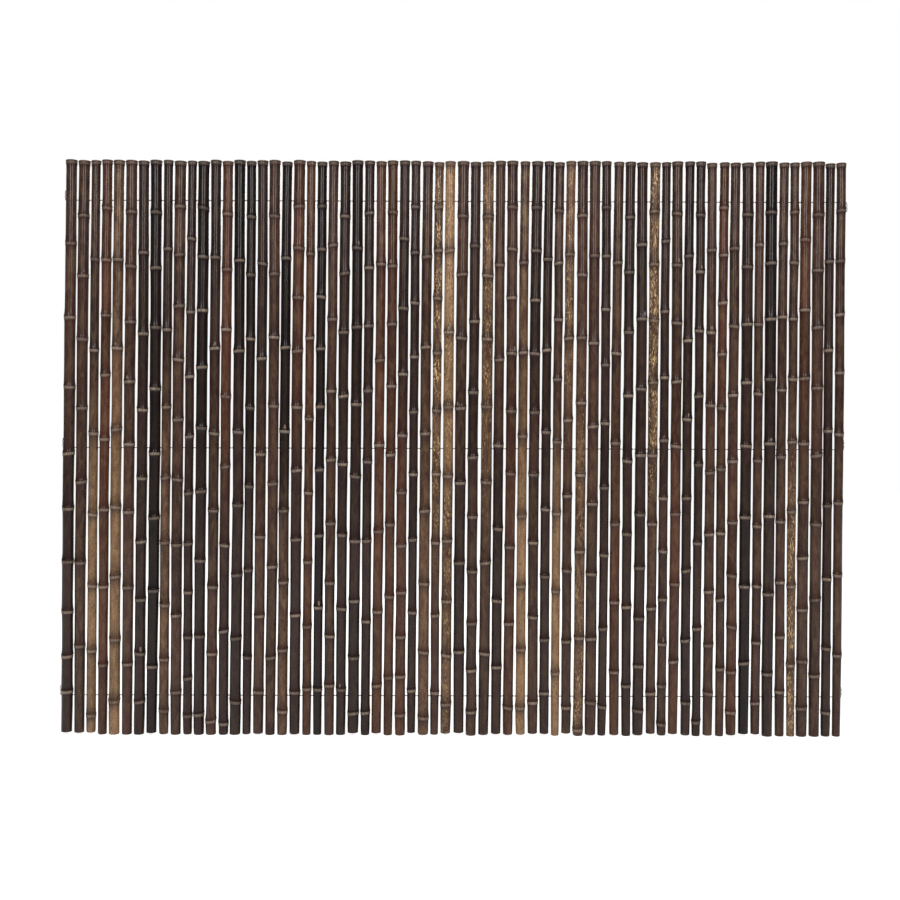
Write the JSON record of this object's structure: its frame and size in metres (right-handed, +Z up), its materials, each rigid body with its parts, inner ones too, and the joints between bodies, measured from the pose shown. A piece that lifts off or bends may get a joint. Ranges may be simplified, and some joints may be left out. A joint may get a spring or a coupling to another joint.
{
  "type": "bamboo screening mat",
  "caption": "Upright screening mat of dark bamboo canes set side by side with narrow gaps, drilled and threaded on straight wires, for covering a fence or railing.",
  "frame": {"origin": "middle of the mat's foot: half way along it, half way through it, at its lowest cane ends", "axes": "+X along the mat to the right seen from the front, +Y through the mat to its back, +Z up the canes"},
  "size_m": [2.4706, 0.0402, 1.8],
  "materials": {
    "charcoal_cane": "satin, near black",
    "umber_cane": "satin, dark brown",
    "russet_cane": "satin, red brown",
    "golden_cane": "satin, mottled tan on brown",
    "wire": "dull grey galvanised"
  },
  "bodies": {
    "root": {"canes_01_02": "umber_cane", "canes_03_04": "golden_cane", "canes_05_06": "charcoal_cane", "canes_07_08": "umber_cane", "canes_09_10": "russet_cane", "canes_11_12": "charcoal_cane", "canes_13_14": "umber_cane", "canes_15_16": "russet_cane", "canes_17_18": "charcoal_cane", "canes_19_20": "umber_cane", "canes_21_22": "charcoal_cane", "canes_23_24": "russet_cane", "canes_25_26": "umber_cane", "canes_27_28": "charcoal_cane", "canes_29_30": "russet_cane", "canes_31_32": "umber_cane", "canes_33_34": "golden_cane", "canes_35_36": "golden_cane", "canes_37_38": "umber_cane", "canes_39_40": "golden_cane", "canes_41_42": "golden_cane", "canes_43_44": "golden_cane", "canes_45_46": "charcoal_cane", "canes_47_48": "umber_cane", "canes_49_50": "russet_cane", "canes_51_52": "charcoal_cane", "canes_53_54": "umber_cane", "canes_55_56": "russet_cane", "canes_57_58": "charcoal_cane", "canes_59_60": "umber_cane", "canes_61_62": "golden_cane", "canes_63_64": "charcoal_cane", "canes_65_66": "umber_cane", "wire_top": "wire", "wire_middle": "wire", "wire_bottom": "wire"}
  },
  "joints": []
}
